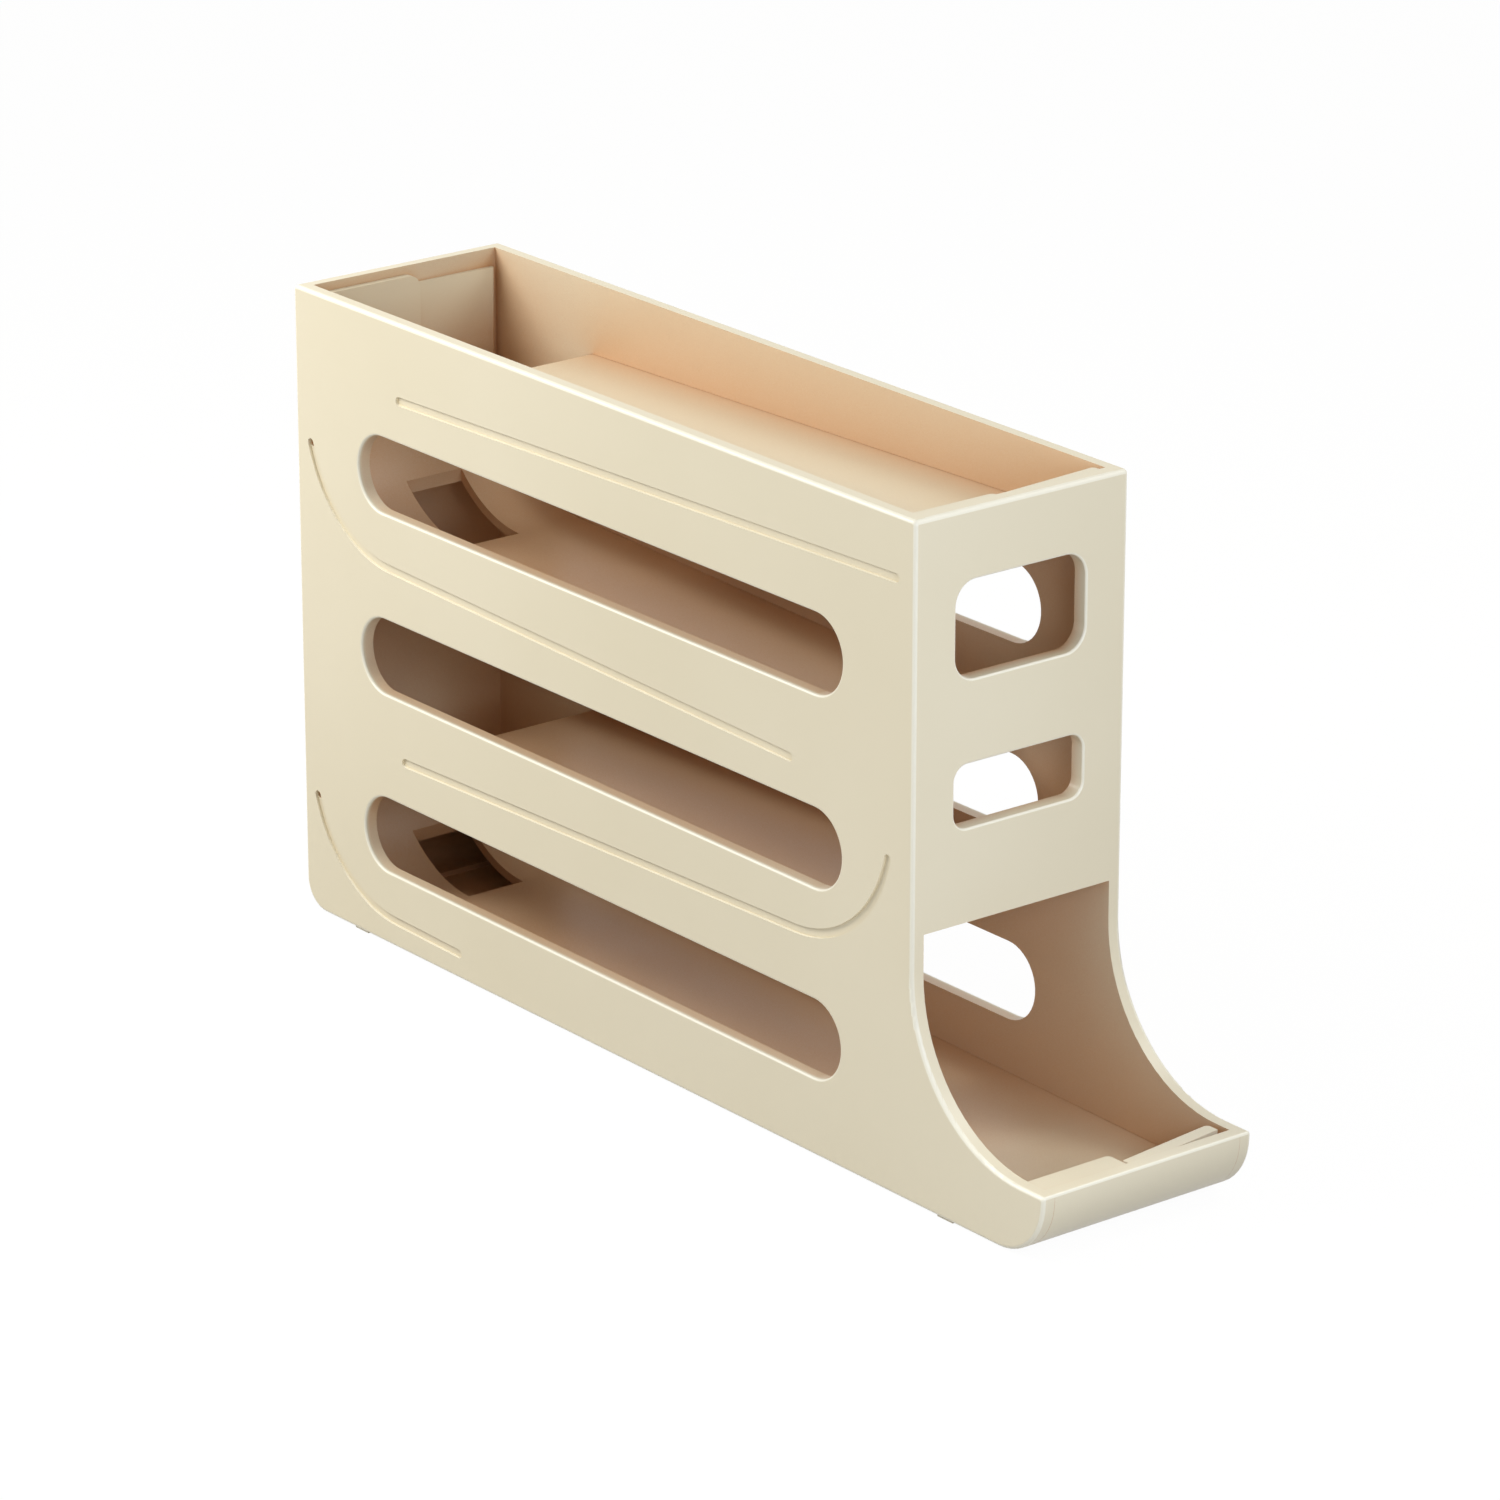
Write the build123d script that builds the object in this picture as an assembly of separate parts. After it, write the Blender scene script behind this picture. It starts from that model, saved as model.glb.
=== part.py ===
from build123d import *

import os
from math import hypot, radians, tan

# Rolling dispenser for a refrigerator shelf.
#
# A narrow open-topped case holds four sloping chutes, one above the other.
# Each chute ends in a gap over the next one, and the lowest runs out to a low
# front lip.
#
# Frame: +X points to the front lip, +Z is up, and -Y is the left side.  The
# origin is the bottom centre of the bounding box.  Profiles are drawn in a
# side view: x from the back face, z from the body's underside.  The function
# spot() turns such a point into the part's frame.

# Overall sizes, in millimetres
lip_reach = 60.4          # front panel's face to the lip's face
body_width = 81.0         # over both side panels
lip_height = 21.9         # underside to the top of the lip
foot_drop = 0.5           # how far the foot pads stand below the body

# Walls and fits
wall = 4.6                # side and back panels and the lip
front_wall = 5.2          # front panel
floor_wall = 3.0          # plate under the bottom chute
chute_wall = 3.0          # every chute
fit_gap = 0.1             # clearance of a tongue or tenon in its groove
rail_depth = 1.6          # how deep the chutes' edges enter the side panels

# Corner and edge radii of the case
back_corner = 10.0        # bottom corner at the back
lip_corner = 20.0         # outer curve under the lip
mouth_radius = 50.0       # concave front edge beside the serving mouth
rim_corner = 1.5          # outer top edges of the case, front and back
edge_round = 1.3          # outer edges of the side panels
window_round = 0.8        # outer rims of the windows
lip_round = 0.9           # outer top edge of the lip

# Long windows in the side panels, one for each covered lane
window_length = 245.0
window_height = 25.5
back_band = 34.0          # back face to the windows
front_band = 33.0         # windows to the front panel's face
rim_band = 39.5           # top window to the rim
window_low_z = 37.75      # centre height of the lowest window
tier_pitch = 61.0         # from one window to the next above
window_count = 3

# Windows in the front panel
front_window_width = 49.5
upper_window_height = 30.5
upper_window_drop = 37.25  # its centre below the rim
upper_window_corner = 7.5
lower_window_height = 20.0
lower_window_drop = 36.25  # its centre below the top lane's side window
lower_window_corner = 5.0
mouth_drop = 14.75        # the panel's bottom edge below the middle lane's side window

# Chutes: their middle lines in the side view
chute_fall = 1.45         # slope of the upper three chutes, in degrees
guide_radius = 45.4       # curved guides, at the middle of their wall
guide_sweep = 71.0        # how far a back guide turns up, in degrees
front_guide_sweep = 75.0  # how far the front guide turns up, in degrees
drop_gap = 52.4           # clear gap from an end wall to a chute's free end
top_chute_drop = 25.5     # top chute's free end below the rim
top_chute_end = 3.4       # its front end stops this short of the front panel
back_bend = 50.0          # back face to where the back guides begin
front_bend = 54.5         # front panel's face to where the front guide begins
second_drop = 30.5        # second chute's bend below its lane's window centre
third_drop = 28.25        # third chute's bend below its lane's window centre
bottom_drop = 28.65       # bottom chute's bend below its lane's window centre
toe_step = 1.0            # gap from the bottom chute's toe to the lip block

# Grooves pressed into the outer faces along the chutes
mark_width = 3.0
mark_depth = 0.9
mark_dot_radius = 1.3     # round dimple at the top of each back guide
bottom_mark_length = 35.0

# Slots in the middle of the back guides
slot_width = 22.0
slot_start = 18.8         # back face to the slot's upper end; it ends at the bend

# Return flanges on the left panel, each ending near the middle of the case
back_flange_depth = 2.4
back_flange_drop = 2.9    # below the rim
back_flange_height = 30.0
back_flange_end = 4.2     # y of its free end
back_flange_corner = 4.5  # rounded top corner
front_flange_depth = 2.2
front_flange_drop = 0.3
front_flange_height = 14.0
front_flange_end = -5.4
lip_flange_depth = 8.6
lip_flange_drop = 0.5
lip_flange_height = 6.0
lip_flange_end = -4.0
flange_round = 1.4        # rounded free ends

# Spring tongues on the cross panels, from there to the right panel
split_gap = 0.9           # gap between a flange's end and its tongue
back_tongue_depth = 2.4   # at the free end
back_tongue_drop = 5.9    # below the rim
front_tongue_depth = 3.2
lip_tongue_depth = 7.8
lip_tongue_root = 3.2     # depth where it leaves the lip
tongue_root = 0.5         # depth where the other two leave their panels
lip_tongue_thick = 4.6    # the free end stands clear of the lip behind it
tongue_gap = 1.8          # free end to the right panel

# Tenons that join the cross panels to the side panels
tenon_reach = 2.4
tenon_thick = 2.2
tenon_height = 12.0
panel_tenon_inset = 15.0  # end tenons from the front panel's top and bottom edges
back_tenon_inset = 30.0   # end tenons from the rim and the underside
floor_tenon_inset = 50.0  # end tenons from the floor panel's ends
floor_tenon_thick = 1.4
lip_tenon_size = 7.0      # length of the tenon at each end of the lip
lip_tenon_thick = 2.3

# Foot pads under the side panels
pad_length = 7.0
pad_width = 3.0
pad_seat = 0.9            # depth of the recess that holds a pad
pad_front_reach = 15.5    # front pads ahead of the front panel's face
pad_back_x = 30.0
pad_round = 0.15          # outer rim of a pad

# Limits used while drawing
same_place = 0.001        # points this close count as one
tip_share = 0.45          # most of a tip's thickness that its rounding takes
relief_share = 1 / 3      # first part of a tongue that stays joined to its panel

# Sizes that follow from the ones above
window_centres = [window_low_z + step * tier_pitch for step in range(window_count)]
body_length = back_band + window_length + front_band
body_height = window_centres[-1] + window_height / 2 + rim_band
window_centre_x = back_band + window_length / 2
upper_window_z = body_height - upper_window_drop
lower_window_z = window_centres[-1] - lower_window_drop
mouth_top = window_centres[-2] - mouth_drop
top_chute_z = body_height - top_chute_drop
second_bend = (back_bend, window_centres[-1] - second_drop)
third_bend = (body_length - front_bend, window_centres[-2] - third_drop)
bottom_bend = (back_bend, window_centres[-3] - bottom_drop)
pad_front_x = body_length + pad_front_reach
total_length = body_length + lip_reach
inner_width = body_width - 2 * wall
half_width = body_width / 2
inner_half = inner_width / 2
front_inner_x = body_length - front_wall
lip_inner_x = total_length - wall
floor_start_x = back_corner + wall
floor_end_x = total_length - lip_corner - 2 * wall
chute_half = inner_half + rail_depth - fit_gap


def spread(low, high):
    """Three even places from a low to a high one."""
    return (low, (low + high) / 2, high)


front_tenon_z = spread(mouth_top + panel_tenon_inset, body_height - panel_tenon_inset)
back_tenon_z = spread(back_tenon_inset, body_height - back_tenon_inset)
floor_tenon_x = spread(floor_start_x + floor_tenon_inset, floor_end_x - floor_tenon_inset)


def spot(x, z):
    """Side-view point, measured from the back face and the body's underside."""
    return (x - total_length / 2, z + foot_drop)


def side_plane(y):
    """Side-view plane at a given y; extruding goes towards -Y."""
    return Plane.XZ.offset(-y)


def slab(profile, y_low, y_high):
    """Extrude a side-view profile between two y values."""
    return extrude(side_plane(y_high) * profile, y_high - y_low)


def block(x_low, x_high, y_low, y_high, z_low, z_high):
    """Box given by its faces in side-view lengths and the part's own y."""
    low_x, low_z = spot(x_low, z_low)
    size = (x_high - x_low, y_high - y_low, z_high - z_low)
    return Pos(low_x, y_low, low_z) * Box(*size, align=(Align.MIN,) * 3)


def mirrored(shape):
    """The same shape on the other side of the case's middle plane."""
    return mirror(shape, about=Plane.XZ)


def edges_at_y(shape, y):
    """All edges of a solid that lie in the plane of one side face."""
    return [e for e in shape.edges() if abs(e.center().Y - y) < same_place
            and abs(e.position_at(0).Y - y) < same_place]


def between(value, low, high):
    """True where a value is not outside two others."""
    return low - same_place < value < high + same_place


# Chute middle lines
def heading(start, end):
    """Unit vector from one side-view point to another."""
    run = end[0] - start[0]
    rise = end[1] - start[1]
    length = hypot(run, rise)
    return (run / length, rise / length)


def guided_line(free_end, bend, sweep):
    """Straight run from a free end to a bend, then an arc that turns up."""
    start = spot(*free_end)
    corner = spot(*bend)
    direction = heading(start, corner)
    turn = sweep if direction[0] > 0 else -sweep
    return Line(start, corner) + JernArc(corner, direction, guide_radius, turn)


rise_per_mm = tan(radians(chute_fall))
back_free_x = wall + drop_gap
front_free_x = front_inner_x - drop_gap
top_front_x = front_inner_x - top_chute_end
top_front_z = top_chute_z + (top_front_x - back_free_x) * rise_per_mm
second_free_z = second_bend[1] - (front_free_x - second_bend[0]) * rise_per_mm
third_free_z = third_bend[1] - (third_bend[0] - back_free_x) * rise_per_mm
toe_x = floor_end_x - toe_step
toe_z = floor_wall + fit_gap + chute_wall / 2

top_line = Line(spot(back_free_x, top_chute_z), spot(top_front_x, top_front_z))
second_line = guided_line((front_free_x, second_free_z), second_bend, guide_sweep)
third_line = guided_line((back_free_x, third_free_z), third_bend, front_guide_sweep)
bottom_line = guided_line((toe_x, toe_z), bottom_bend, guide_sweep)
chute_lines = (top_line, second_line, third_line, bottom_line)


def band(line, width, round_ends):
    """Flat band of a given width along a middle line."""
    strip = trace(line, line_width=width)
    if round_ends:
        for end in (line @ 0, line @ 1):
            strip += Pos(end.X, end.Y) * Circle(width / 2)
    return strip


def make_chute(line):
    """One chute plate, long enough to enter the rails of both side panels."""
    return slab(band(line, chute_wall, False), -chute_half, chute_half)


def make_guided_chute(line):
    """A chute with a slot through the middle of its back guide."""
    top_z = (line @ 1).Y - foot_drop
    slot = block(slot_start, back_bend, -slot_width / 2, slot_width / 2,
                 top_z - guide_radius, top_z)
    return make_chute(line) - slot


# Side panels
def side_outline():
    """Outline of a side panel in the side view."""
    corners = (
        (0, 0, back_corner),
        (total_length, 0, lip_corner),
        (total_length, lip_height, lip_round),
        (body_length, lip_height, mouth_radius),
        (body_length, body_height, rim_corner),
        (0, body_height, rim_corner),
    )
    points = [spot(x, z) for x, z, radius in corners]
    radii = [radius for x, z, radius in corners]
    return make_face(FilletPolyline(*points, radius=radii, close=True))


def bottom_mark_line():
    """The part of the bottom chute's line that is marked on the outside."""
    direction = heading(bottom_bend, (toe_x, toe_z))
    end = (bottom_bend[0] + bottom_mark_length * direction[0],
           bottom_bend[1] + bottom_mark_length * direction[1])
    return guided_line(end, bottom_bend, guide_sweep)


def tenon_places():
    """Side-view centre, length and height of every tenon, for one side."""
    places = []
    for z in front_tenon_z:
        places.append((front_inner_x + front_wall / 2, z, tenon_thick, tenon_height))
    for z in back_tenon_z:
        places.append((wall / 2, z, tenon_thick, tenon_height))
    for x in floor_tenon_x:
        places.append((x, floor_wall / 2, tenon_height, floor_tenon_thick))
    return places


def tenon(place, gap, reach):
    """Tenon on the left side of a cross panel, or its socket with a gap."""
    x, z, length, height = place
    return block(x - length / 2 - gap, x + length / 2 + gap, -inner_half - reach, -inner_half,
                 z - height / 2 - gap, z + height / 2 + gap)


def lip_tenon(gap, reach):
    """Tenon where the lip begins to curve, or its socket."""
    centre_x = total_length - lip_corner - lip_tenon_size / 2
    return block(centre_x - lip_tenon_size / 2 - gap, centre_x + lip_tenon_size / 2 + gap,
                 -inner_half - reach, -inner_half,
                 wall / 2 - lip_tenon_thick / 2 - gap, wall / 2 + lip_tenon_thick / 2 + gap)


def pad_seat_block(x, side, gap):
    """Space of a foot pad, or of its recess with a gap."""
    middle = side * (half_width - wall / 2)
    return block(x - pad_length / 2 - gap, x + pad_length / 2 + gap,
                 middle - pad_width / 2 - gap, middle + pad_width / 2 + gap,
                 -foot_drop, pad_seat)


def make_plain_panel():
    """Left side panel with windows, grooves, rails and sockets."""
    panel = slab(side_outline(), -half_width, -inner_half)
    panel = fillet(edges_at_y(panel, -half_width), edge_round)
    for z in window_centres:
        hole = Pos(*spot(window_centre_x, z)) * SlotOverall(window_length, window_height)
        panel -= slab(hole, -half_width, -inner_half)
    rims = [e for e in edges_at_y(panel, -half_width) if inside_windows(e.center())]
    panel = fillet(rims, window_round)
    marks = (top_line, second_line, third_line, bottom_mark_line())
    for line in marks:
        panel -= slab(band(line, mark_width, True), -half_width, -half_width + mark_depth)
    for line in (second_line, bottom_line):
        top = line @ 1
        dot = Pos(top.X, top.Y) * Circle(mark_dot_radius)
        panel -= slab(dot, -half_width, -half_width + 2 * mark_depth)
    for line in chute_lines:
        rail = band(line, chute_wall + 2 * fit_gap, True)
        panel -= slab(rail, -inner_half - rail_depth, -inner_half)
    for place in tenon_places():
        panel -= tenon(place, fit_gap, tenon_reach + fit_gap)
    panel -= lip_tenon(fit_gap, tenon_reach + fit_gap)
    for x in (pad_front_x, pad_back_x):
        panel -= pad_seat_block(x, -1, 0)
    return panel


def inside_windows(point):
    """True where a point of the outer face is on a window's rim."""
    low = spot(window_centre_x - window_length / 2, 0)[0]
    high = spot(window_centre_x + window_length / 2, 0)[0]
    bottom = spot(0, window_low_z - window_height / 2)[1]
    top = spot(0, window_centres[-1] + window_height / 2)[1]
    return between(point.X, low, high) and between(point.Z, bottom, top)


def lip_line():
    """Middle line of the curved lip in the side view."""
    bottom = Line(spot(floor_end_x, wall / 2), spot(total_length - lip_corner, wall / 2))
    bend = JernArc(bottom @ 1, (1, 0), lip_corner - wall / 2, 90)
    return bottom + bend + Line(bend @ 1, spot(total_length - wall / 2, lip_height))


def flange(x_low, x_high, end_y, top, height, corner):
    """Return flange from the left panel towards the middle of the case."""
    plate = block(x_low, x_high, -inner_half, end_y, top - height, top)
    if corner:
        edges = plate.edges().filter_by(Axis.X).group_by(Axis.Y)[-1].group_by(Axis.Z)[-1]
        return fillet(edges, corner)
    ends = plate.edges().filter_by(Axis.Z).group_by(Axis.Y)[-1].group_by(Axis.X)[0]
    return fillet(ends, flange_round)


def left_flanges():
    """The three flanges that hold the cross panels behind the left panel."""
    back = flange(wall + fit_gap, wall + fit_gap + back_flange_depth, back_flange_end,
                  body_height - back_flange_drop, back_flange_height, back_flange_corner)
    front = flange(front_inner_x - front_flange_depth, front_inner_x - fit_gap, front_flange_end,
                   body_height - front_flange_drop, front_flange_height, 0)
    lip = flange(lip_inner_x - lip_flange_depth, lip_inner_x - fit_gap, lip_flange_end,
                 lip_height - lip_flange_drop, lip_flange_height, 0)
    lip -= slab(trace(lip_line(), line_width=wall + 2 * fit_gap), -inner_half, inner_half)
    return (back, front, lip)


def spring_tongue(wall_x, inward, start_y, root, depth, thick, top, height):
    """Tapered tongue on a cross panel, deepest at its free end on the right."""
    end_y = inner_half - tongue_gap
    base_x, base_z = spot(wall_x, top - height)
    back_x = base_x + inward * (depth - thick)
    outline = make_face(Polyline(
        (base_x, start_y),
        (base_x + inward * root, start_y),
        (base_x + inward * depth, end_y),
        (back_x, end_y),
        (base_x, start_y + (end_y - start_y) * relief_share),
        close=True))
    tongue = extrude(Plane.XY.offset(base_z) * outline, height)
    tips = tongue.edges().filter_by(Axis.Z).group_by(Axis.Y)[-1]
    inner_tip = tips.sort_by(Axis.X)[0 if inward < 0 else -1]
    return fillet(inner_tip, min(flange_round, tip_share * thick))


def with_tenons(panel, places):
    """Add a tenon on both sides of a cross panel at each place."""
    for place in places:
        peg = tenon(place, 0, tenon_reach)
        panel = panel + peg + mirrored(peg)
    return panel


# Cross panels
def front_window(z, height, corner):
    """Opening through the front panel, drawn in the front view."""
    x = spot(body_length + wall, 0)[0]
    plane = Plane(origin=(x, 0, z + foot_drop), x_dir=(0, 1, 0), z_dir=(-1, 0, 0))
    return extrude(plane * RectangleRounded(front_window_width, height, corner), 3 * wall)


def make_front_panel():
    """Front panel with two windows, hung between the side panels."""
    panel = block(front_inner_x, body_length, -inner_half, inner_half, mouth_top, body_height)
    front_x = spot(body_length, 0)[0]
    long_edges = panel.edges().filter_by(Axis.Y)
    top_edges = long_edges.group_by(Axis.Z)[-1].sort_by(Axis.X)
    panel = fillet(top_edges[-1], rim_corner)
    for z, height, corner in ((upper_window_z, upper_window_height, upper_window_corner),
                              (lower_window_z, lower_window_height, lower_window_corner)):
        panel -= front_window(z, height, corner)
    rims_low = spot(0, lower_window_z - lower_window_height / 2)[1]
    rims_high = spot(0, upper_window_z + upper_window_height / 2)[1]
    rims = [e for e in panel.edges() if abs(e.center().X - front_x) < same_place
            and between(abs(e.center().Y), 0, front_window_width / 2)
            and between(e.center().Z, rims_low, rims_high)]
    panel = fillet(rims, window_round)
    panel += spring_tongue(front_inner_x, -1, front_flange_end + split_gap, tongue_root,
                           front_tongue_depth, front_tongue_depth,
                           body_height - front_flange_drop, front_flange_height)
    return with_tenons(panel, tenon_places()[:len(front_tenon_z)])


def make_back_panel():
    """Back panel, curved forward at its foot to meet the floor."""
    height_line = Line(spot(wall / 2, body_height), spot(wall / 2, back_corner))
    bend = JernArc(height_line @ 1, (0, -1), back_corner - wall / 2, 90)
    run = Line(bend @ 1, (spot(floor_start_x, 0)[0], (bend @ 1).Y))
    profile = trace(height_line + bend + run, line_width=wall)
    panel = slab(profile, -inner_half, inner_half)
    rim = panel.edges().filter_by(Axis.Y).group_by(Axis.Z)[-1].sort_by(Axis.X)
    panel = fillet(rim[0], rim_corner)
    panel += spring_tongue(wall, 1, back_flange_end + split_gap, tongue_root,
                           back_tongue_depth, back_tongue_depth,
                           body_height - back_tongue_drop, back_flange_height)
    first = len(front_tenon_z)
    return with_tenons(panel, tenon_places()[first:first + len(back_tenon_z)])


def make_floor_panel():
    """Flat plate under the bottom chute."""
    panel = block(floor_start_x, floor_end_x, -inner_half, inner_half, 0, floor_wall)
    first = len(front_tenon_z) + len(back_tenon_z)
    return with_tenons(panel, tenon_places()[first:])


def make_front_lip():
    """Low curved lip that closes the serving mouth's trough."""
    lip = slab(trace(lip_line(), line_width=wall), -inner_half, inner_half)
    rim = lip.edges().filter_by(Axis.Y).group_by(Axis.Z)[-1].sort_by(Axis.X)
    lip = fillet(rim[-1], lip_round)
    lip += spring_tongue(lip_inner_x, -1, lip_flange_end + split_gap, lip_tongue_root,
                         lip_tongue_depth, lip_tongue_thick,
                         lip_height - lip_flange_drop, lip_flange_height)
    peg = lip_tenon(0, tenon_reach)
    return lip + peg + mirrored(peg)


def make_pad(x, side):
    """Soft foot pad set into a side panel's bottom edge."""
    pad = pad_seat_block(x, side, 0)
    return fillet(pad.edges().group_by(Axis.Z)[0], pad_round)


plain_panel = make_plain_panel()
left_panel = plain_panel
for piece in left_flanges():
    left_panel = left_panel + piece

parts = {
    "left_side_panel": left_panel,
    "right_side_panel": mirrored(plain_panel),
    "front_panel": make_front_panel(),
    "back_panel": make_back_panel(),
    "floor_panel": make_floor_panel(),
    "front_lip": make_front_lip(),
    "top_chute": make_chute(top_line),
    "second_chute": make_guided_chute(second_line),
    "third_chute": make_chute(third_line),
    "bottom_chute": make_guided_chute(bottom_line),
    "foot_pad_front_left": make_pad(pad_front_x, -1),
    "foot_pad_front_right": make_pad(pad_front_x, 1),
    "foot_pad_back_left": make_pad(pad_back_x, -1),
    "foot_pad_back_right": make_pad(pad_back_x, 1),
}

os.makedirs("parts", exist_ok=True)
for name, shape in parts.items():
    export_step(shape, f"parts/{name}.step")
    print(name, round(shape.volume, 1), shape.bounding_box())
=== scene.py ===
"""Looks of the rolling dispenser: cream moulded plastic on a plain pale floor.

Everything is in metres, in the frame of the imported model: +X points to the
front lip, +Z is up, -Y is the left side that the camera sees.
"""

import bpy
from mathutils import Matrix, Vector
from math import cos, radians, sin

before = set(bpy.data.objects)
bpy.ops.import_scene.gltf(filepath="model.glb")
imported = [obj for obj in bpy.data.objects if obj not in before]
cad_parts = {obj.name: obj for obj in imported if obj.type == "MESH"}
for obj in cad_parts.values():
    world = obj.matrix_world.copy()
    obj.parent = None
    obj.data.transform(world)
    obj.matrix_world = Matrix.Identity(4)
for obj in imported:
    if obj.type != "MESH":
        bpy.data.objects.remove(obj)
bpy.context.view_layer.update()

# Camera, solved from the photograph's edges
CAMERA_AZIMUTH = 51.75       # degrees, 0 looks along +Y
CAMERA_ELEVATION = 19.9
CAMERA_PLACE = (1.5595, -1.2309, 0.8174)
CAMERA_ROLL = 0.02
CAMERA_REACH = 50.0          # metres, past the whole floor
SENSOR_WIDTH = 36.0          # millimetres
FOCAL_LENGTH = 164.42        # millimetres

# Colours of the moulded plastic, with a painted highlight and a painted shade, linear
CREAM = (0.800, 0.722, 0.535)
CREAM_DEEP = (0.770, 0.690, 0.500)
CHUTE_CREAM = (0.790, 0.700, 0.505)
# painted highlight for the rounded edges, window sills and marks' lower walls
PAINTED_HIGHLIGHT_CREAM = (0.900, 0.850, 0.690)
# painted warm shade for the walls and chutes between close walls
PAINTED_SHADE_TAN = (0.560, 0.288, 0.120)
PAD_CREAM = (0.700, 0.640, 0.500)
WHITE = (1.0, 1.0, 1.0)
TONE_LOW = 0.30              # the cloudy tone's noise, from the deep cream
TONE_HIGH = 0.62             # to the plain one
TONE_SCALE = 9.0

# Surface of the moulded plastic
SATIN = 0.36                 # roughness of the walls
CHUTE_SATIN = 0.38
PAD_MATT = 0.75
SATIN_SWING = 0.04           # how far the roughness wanders
SATIN_SCALE = 45.0
TEXTURE = 0.10               # strength of the fine moulding texture
PAD_TEXTURE = 0.30
TEXTURE_DEPTH = 0.00004
TEXTURE_SCALE = 1400.0
REFRACTION = 1.49
SHINE = 0.5

# Painted warm shade between close walls
RECESS_REACH = 0.075         # walls closer than this paint warm shade on each other
RECESS_OPEN = 0.92           # open share of the sky from which the painted shade starts
RECESS_CLOSED = 0.35         # and at which it is full
PAINTED_SHADE_SHARE = 0.9
RECESS_SAMPLES = 8
NO_PAINTED_SHADE = "none"           # for pieces whose walls close nothing in
FACING_IN = "facing in"      # for the pieces that close the case from below

# Walls: axis, inner face, and where the painted warm shade on their openings starts to fade and ends
SIDE_WALL = ("Y", 0.0360, 0.0387, 0.0397)
FRONT_WALL = ("X", 0.1208, 0.1208, 0.1245)
BACK_WALL = ("X", 0.1818, 0.1818, 0.1850)
FLANGE_GAP = 0.0006          # what lies further in from a wall is a flange or a tongue
FLANGE_LOW = 0.185           # the painted shade leaves the flanges, so that they look lit, from this height
FLANGE_HIGH = 0.204          # to this one

# Places that the painted shade and the painted highlights follow
CASE_FRONT = 0.1256          # just behind the front face of the upright case
RIM_HEIGHT = 0.2111          # foot of the rim's rounded edges
LIP_REACH = 0.1852           # foot of the lip's rounded edge
LIP_HEIGHT = 0.0215
MARK_FLOOR = 0.0397          # just outside the floors of the pressed marks
SOFT_STEP = 0.0003           # width of a tone's soft edge
FACE_STEP = 0.0001

# Parts of a unit normal between which a painted highlight or painted shade turns on or off
ON_FACE = (0.99, 0.93)
ALONG_FACE = (0.05, 0.20)
RISING = (0.55, 0.80)
LEANING_IN = (0.3, 0.7)

# Lamps: name, place, aim, size, power in watts, colour
LAMPS = (
    ("key_lamp", (-0.42, -0.52, 0.60), (-0.05, 0.0, 0.14), 0.35, 3.75, (1.0, 0.995, 0.985)),
    ("front_lamp", (0.52, -0.16, 0.26), (0.12, 0.0, 0.12), 0.20, 1.10, (0.78, 0.85, 1.0)),
    ("left_rim_lamp", (-0.75, -0.33, 0.66), (0.0, 0.0, 0.16), 0.30, 1.6, (1.0, 1.0, 0.98)),
    ("far_rim_lamp", (0.38, 0.55, 0.80), (0.05, 0.0, 0.16), 0.40, 1.8, (1.0, 1.0, 0.98)),
)
WORLD_COLOUR = (1.0, 1.0, 1.0)
WORLD_STRENGTH = 0.45
FLOOR_REACH = 3.0
FLOOR_TONE = (0.43, 0.42, 0.40)
FLOOR_ROUGHNESS = 0.9
FLOOR_WHITE_SHARE = 0.90     # how much of the floor is plain white to the camera
FLOOR_WHITE_LEVEL = 1.07     # a little over white, since the rest of the floor is darker


def set_input(node, name, value):
    """Set a shader socket by name where this Blender has it."""
    if name in node.inputs:
        node.inputs[name].default_value = value


def rgba(colour):
    """A colour with full opacity."""
    return (colour[0], colour[1], colour[2], 1.0)


def map_range(tree, value, low, high, top=1.0, bottom=0.0):
    """Socket that goes from a bottom at one value to a top at another."""
    node = tree.nodes.new("ShaderNodeMapRange")
    node.inputs["From Min"].default_value = low
    node.inputs["From Max"].default_value = high
    node.inputs["To Min"].default_value = bottom
    node.inputs["To Max"].default_value = top
    tree.links.new(value, node.inputs["Value"])
    return node.outputs["Result"]


def arithmetic(tree, operation, first, second=None):
    """Socket of one arithmetic step; the second value is a number or a socket."""
    node = tree.nodes.new("ShaderNodeMath")
    node.operation = operation
    tree.links.new(first, node.inputs[0])
    if isinstance(second, float):
        node.inputs[1].default_value = second
    elif second is not None:
        tree.links.new(second, node.inputs[1])
    return node.outputs[0]


def coordinates(tree, vector):
    """The three sockets of a vector, by the names X, Y and Z."""
    parts = tree.nodes.new("ShaderNodeSeparateXYZ")
    tree.links.new(vector, parts.inputs[0])
    return parts.outputs


def size_along(tree, vector, axis):
    """Socket with the size of one coordinate, without its sign."""
    return arithmetic(tree, "ABSOLUTE", coordinates(tree, vector)[axis])


def true_normal(tree):
    """Socket of the surface's own direction, without its smoothing."""
    return tree.nodes.new("ShaderNodeNewGeometry").outputs["True Normal"]


def slanting(tree, axis):
    """Socket that is 1 where the surface neither faces an axis nor runs along it."""
    facing = size_along(tree, true_normal(tree), axis)
    off_face = map_range(tree, facing, *ON_FACE)
    off_side = map_range(tree, facing, *ALONG_FACE)
    return arithmetic(tree, "MULTIPLY", off_face, off_side)


def ledge_highlight_mask(tree, place):
    """Socket that is 1 on the lower walls of the marks and the outer sills of the windows, where a
    highlight is painted.
    """
    faces_up = map_range(tree, coordinates(tree, true_normal(tree))["Z"], *RISING)
    near_face = map_range(tree, size_along(tree, place, "Y"), MARK_FLOOR - SOFT_STEP, MARK_FLOOR)
    return arithmetic(tree, "MULTIPLY", faces_up, near_face)


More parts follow.
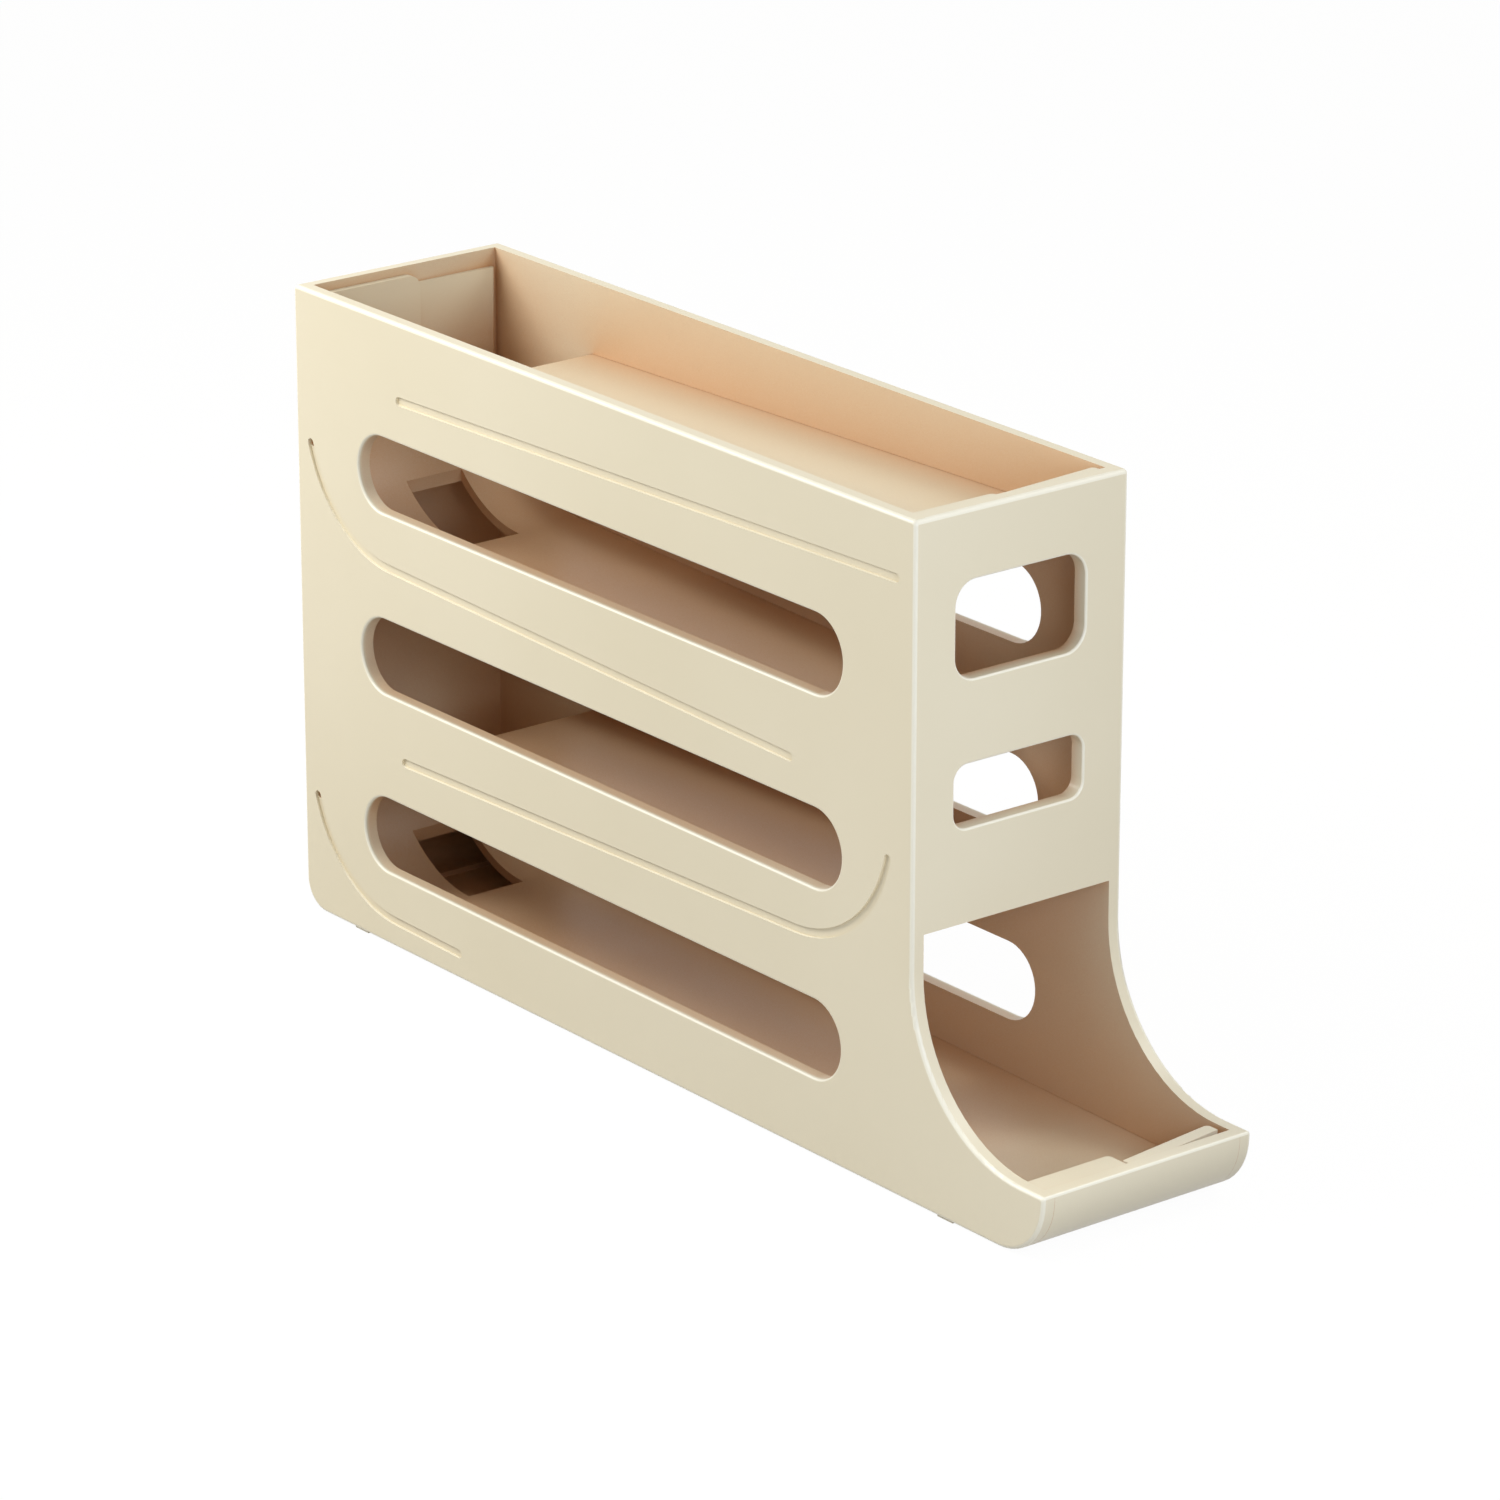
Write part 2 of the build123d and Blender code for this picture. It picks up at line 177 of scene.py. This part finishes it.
def painted_highlight_mask(tree, place, face_axis):
    """Socket that is 1 on the small rounded edges of the rims and of a panel's outer face, where a
    highlight is painted.
    """
    spot = coordinates(tree, place)
    at_rim = map_range(tree, spot["Z"], RIM_HEIGHT - SOFT_STEP, RIM_HEIGHT)
    at_lip = arithmetic(
        tree, "MULTIPLY",
        map_range(tree, spot["X"], LIP_REACH - SOFT_STEP, LIP_REACH),
        map_range(tree, spot["Z"], LIP_HEIGHT - SOFT_STEP, LIP_HEIGHT))
    zone = arithmetic(tree, "MAXIMUM", at_rim, at_lip)
    corner = arithmetic(tree, "MULTIPLY", slanting(tree, "Z"), zone)
    if face_axis is None:
        return corner
    if face_axis == "Y":
        corner = arithmetic(tree, "MAXIMUM", corner, ledge_highlight_mask(tree, place))
    return arithmetic(tree, "MAXIMUM", corner, slanting(tree, face_axis))


def facing_in(tree):
    """Socket that is 1 on surfaces that face up or back, as the trough behind the lip does."""
    normal = coordinates(tree, true_normal(tree))
    return map_range(tree, arithmetic(tree, "SUBTRACT", normal["Z"], normal["X"]), *LEANING_IN)


def painted_shade_mask(tree, place, inside):
    """Socket of the painted warm shade: it rises between close walls, where warm light would bounce to
    and fro.

    Inside is a wall's places, FACING_IN, or None for a piece that gets painted shade all over.
    """
    shade = tree.nodes.new("ShaderNodeAmbientOcclusion")
    shade.samples = RECESS_SAMPLES
    shade.inputs["Distance"].default_value = RECESS_REACH
    mask = map_range(tree, shade.outputs["AO"], RECESS_OPEN, RECESS_CLOSED, PAINTED_SHADE_SHARE)
    if inside is None:
        return mask
    if inside == FACING_IN:
        return arithmetic(tree, "MULTIPLY", mask, facing_in(tree))
    axis, inner, full, none = inside
    spot = coordinates(tree, place)
    depth = size_along(tree, place, axis)
    on_face = map_range(tree, depth, inner + FACE_STEP, inner)
    through_wall = map_range(tree, depth, none, full)
    in_case = map_range(tree, spot["X"], CASE_FRONT, CASE_FRONT - SOFT_STEP)
    reveal = arithmetic(tree, "MULTIPLY", through_wall, in_case)
    zone = arithmetic(tree, "MAXIMUM", on_face, reveal)
    # Flange tops near the rim get less painted shade, so that they look lit.
    on_flange = map_range(tree, depth, inner - FLANGE_GAP, inner - FLANGE_GAP - FACE_STEP)
    near_rim = map_range(tree, spot["Z"], FLANGE_LOW, FLANGE_HIGH)
    light = arithmetic(tree, "MULTIPLY", on_flange, near_rim)
    return arithmetic(tree, "MULTIPLY", mask, arithmetic(tree, "SUBTRACT", zone, light))


def blend_towards(tree, base, colour, mask):
    """Colour socket that turns from a base to one colour where the mask is 1."""
    mix = tree.nodes.new("ShaderNodeMix")
    mix.data_type = "RGBA"
    sockets = {socket.identifier: socket for socket in mix.inputs}
    tree.links.new(mask, sockets["Factor_Float"])
    tree.links.new(base, sockets["A_Color"])
    sockets["B_Color"].default_value = rgba(colour)
    results = {socket.identifier: socket for socket in mix.outputs}
    return results["Result_Color"]


def noise(tree, place, scale, detail):
    """Socket of an even noise over the part."""
    node = tree.nodes.new("ShaderNodeTexNoise")
    node.inputs["Scale"].default_value = scale
    node.inputs["Detail"].default_value = detail
    tree.links.new(place, node.inputs["Vector"])
    return node.outputs["Fac"]


def plastic(name, colour, deep, roughness, bump, painted_shade=None, edges=False, edge_axis=None):
    """Satin moulded plastic: faint cloudy tone, painted warm shade, painted highlights on edges, fine
    moulding texture.
    """
    material = bpy.data.materials.new(name)
    material.use_nodes = True
    tree = material.node_tree
    shader = tree.nodes["Principled BSDF"]
    place = tree.nodes.new("ShaderNodeTexCoord").outputs["Object"]
    tones = tree.nodes.new("ShaderNodeValToRGB")
    tones.color_ramp.elements[0].position = TONE_LOW
    tones.color_ramp.elements[0].color = rgba(deep)
    tones.color_ramp.elements[1].position = TONE_HIGH
    tones.color_ramp.elements[1].color = rgba(colour)
    tree.links.new(noise(tree, place, TONE_SCALE, 3.0), tones.inputs["Fac"])
    tone = tones.outputs["Color"]
    # painted warm shade between close walls
    if painted_shade != NO_PAINTED_SHADE:
        tone = blend_towards(tree, tone, PAINTED_SHADE_TAN, painted_shade_mask(tree, place, painted_shade))
    # painted highlights on the rounded edges, window sills and marks' lower walls
    if edges:
        tone = blend_towards(tree, tone, PAINTED_HIGHLIGHT_CREAM, painted_highlight_mask(tree, place, edge_axis))
    tree.links.new(tone, shader.inputs["Base Color"])
    rough = map_range(tree, noise(tree, place, SATIN_SCALE, 1.0), 0.0, 1.0,
                      roughness + SATIN_SWING, roughness - SATIN_SWING)
    tree.links.new(rough, shader.inputs["Roughness"])
    fine = tree.nodes.new("ShaderNodeBump")
    fine.inputs["Strength"].default_value = bump
    fine.inputs["Distance"].default_value = TEXTURE_DEPTH
    tree.links.new(noise(tree, place, TEXTURE_SCALE, 2.0), fine.inputs["Height"])
    tree.links.new(fine.outputs["Normal"], shader.inputs["Normal"])
    set_input(shader, "IOR", REFRACTION)
    set_input(shader, "Specular IOR Level", SHINE)
    return material


def dress(node, material):
    """Give a carried-over CAD node its material."""
    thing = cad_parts[node]
    thing.data.materials.clear()
    thing.data.materials.append(material)


def add_camera():
    """Camera at the place and angle that the photograph was taken from."""
    data = bpy.data.cameras.new("camera")
    data.sensor_width = SENSOR_WIDTH
    data.lens = FOCAL_LENGTH
    data.clip_end = CAMERA_REACH
    camera = bpy.data.objects.new("camera", data)
    bpy.context.scene.collection.objects.link(camera)
    side = radians(CAMERA_AZIMUTH)
    rise = radians(CAMERA_ELEVATION)
    towards = Vector((-sin(side) * cos(rise), cos(side) * cos(rise), -sin(rise)))
    turn = towards.to_track_quat("-Z", "Y").to_matrix().to_4x4()
    roll = Matrix.Rotation(radians(CAMERA_ROLL), 4, "Z")
    camera.matrix_world = Matrix.Translation(CAMERA_PLACE) @ turn @ roll
    bpy.context.scene.camera = camera


def add_lamps():
    """Round soft lamps, each turned to its aim and unseen by the camera."""
    for name, place, target, size, power, colour in LAMPS:
        data = bpy.data.lights.new(name, "AREA")
        data.shape = "DISK"
        data.size = size
        data.energy = power
        data.color = colour
        lamp = bpy.data.objects.new(name, data)
        bpy.context.scene.collection.objects.link(lamp)
        lamp.visible_camera = False
        aim = Vector(target) - Vector(place)
        turn = aim.to_track_quat("-Z", "Y").to_matrix().to_4x4()
        lamp.matrix_world = Matrix.Translation(place) @ turn


def seen_directly(tree):
    """Socket that is 1 for rays that should see a plain white background."""
    ray = tree.nodes.new("ShaderNodeLightPath").outputs
    seen = arithmetic(tree, "MAXIMUM", ray["Is Camera Ray"], ray["Is Glossy Ray"])
    return arithmetic(tree, "MAXIMUM", seen, ray["Is Transmission Ray"])


def add_world():
    """Even studio light, with a white background for rays that see it directly."""
    world = bpy.data.worlds.new("studio")
    world.use_nodes = True
    tree = world.node_tree
    light = tree.nodes["Background"]
    light.inputs["Color"].default_value = rgba(WORLD_COLOUR)
    light.inputs["Strength"].default_value = WORLD_STRENGTH
    white = tree.nodes.new("ShaderNodeBackground")
    white.inputs["Color"].default_value = rgba(WHITE)
    white.inputs["Strength"].default_value = 1.0
    mix = tree.nodes.new("ShaderNodeMixShader")
    tree.links.new(seen_directly(tree), mix.inputs["Fac"])
    tree.links.new(light.outputs[0], mix.inputs[1])
    tree.links.new(white.outputs[0], mix.inputs[2])
    tree.links.new(mix.outputs[0], tree.nodes["World Output"].inputs["Surface"])
    bpy.context.scene.world = world
    bpy.context.scene.view_settings.view_transform = "Standard"


def add_floor():
    """Pale floor that fades into the white background."""
    mesh = bpy.data.meshes.new("studio_floor")
    corners = [(x * FLOOR_REACH, y * FLOOR_REACH, 0.0) for x, y in ((-1, -1), (1, -1), (1, 1), (-1, 1))]
    mesh.from_pydata(corners, [], [(0, 1, 2, 3)])
    floor = bpy.data.objects.new("studio_floor", mesh)
    bpy.context.scene.collection.objects.link(floor)
    material = bpy.data.materials.new("pale_floor")
    material.use_nodes = True
    tree = material.node_tree
    shader = tree.nodes["Principled BSDF"]
    shader.inputs["Base Color"].default_value = rgba(FLOOR_TONE)
    shader.inputs["Roughness"].default_value = FLOOR_ROUGHNESS
    plain = tree.nodes.new("ShaderNodeEmission")
    plain.inputs["Color"].default_value = rgba(WHITE)
    plain.inputs["Strength"].default_value = FLOOR_WHITE_LEVEL
    share = arithmetic(tree, "MULTIPLY", seen_directly(tree), FLOOR_WHITE_SHARE)
    mix = tree.nodes.new("ShaderNodeMixShader")
    tree.links.new(share, mix.inputs["Fac"])
    tree.links.new(shader.outputs[0], mix.inputs[1])
    tree.links.new(plain.outputs[0], mix.inputs[2])
    tree.links.new(mix.outputs[0], tree.nodes["Material Output"].inputs["Surface"])
    mesh.materials.append(material)


side_cream = plastic("cream_sides", CREAM, CREAM_DEEP, SATIN, TEXTURE, SIDE_WALL, True, "Y")
front_cream = plastic("cream_front", CREAM, CREAM_DEEP, SATIN, TEXTURE, FRONT_WALL, True, "X")
back_cream = plastic("cream_back", CREAM, CREAM_DEEP, SATIN, TEXTURE, BACK_WALL, True)
base_cream = plastic("cream_base", CREAM, CREAM_DEEP, SATIN, TEXTURE, FACING_IN, True)
chute_cream = plastic("cream_chutes", CHUTE_CREAM, CREAM_DEEP, CHUTE_SATIN, TEXTURE)
pad_cream = plastic("soft_pad", PAD_CREAM, PAD_CREAM, PAD_MATT, PAD_TEXTURE, NO_PAINTED_SHADE)
DRESSES = {
    "left_side_panel": side_cream,
    "right_side_panel": side_cream,
    "front_panel": front_cream,
    "back_panel": back_cream,
    "floor_panel": base_cream,
    "front_lip": base_cream,
    "top_chute": chute_cream,
    "second_chute": chute_cream,
    "third_chute": chute_cream,
    "bottom_chute": chute_cream,
    "foot_pad_front_left": pad_cream,
    "foot_pad_front_right": pad_cream,
    "foot_pad_back_left": pad_cream,
    "foot_pad_back_right": pad_cream,
}
for node, material in DRESSES.items():
    dress(node, material)

add_camera()
add_world()
add_lamps()
add_floor()
